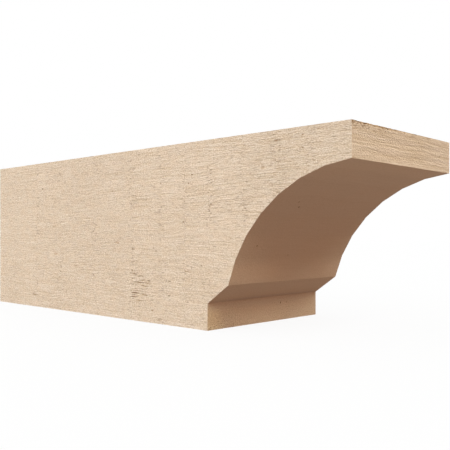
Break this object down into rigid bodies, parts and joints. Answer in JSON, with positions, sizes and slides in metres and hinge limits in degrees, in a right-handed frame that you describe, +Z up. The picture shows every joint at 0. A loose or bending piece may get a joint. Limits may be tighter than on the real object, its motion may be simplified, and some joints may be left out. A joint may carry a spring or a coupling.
{
  "type": "rafter tail",
  "caption": "Square rough-sawn rafter tail whose outer end is cut to a plain tip, a deep cove, a splay and a foot block, to carry or dress an eaves overhang.",
  "frame": {"origin": "in the plane of the underside, below the middle of the timber's length and width", "axes": "+X along the timber towards the carved tip, +Y across its width, +Z up towards the roof"},
  "size_m": [0.6096, 0.2032, 0.2032],
  "materials": {
    "sawn_timber": "matte, rough-sawn and unpainted"
  },
  "bodies": {
    "root": {"rafter_tail": "sawn_timber"}
  },
  "joints": []
}
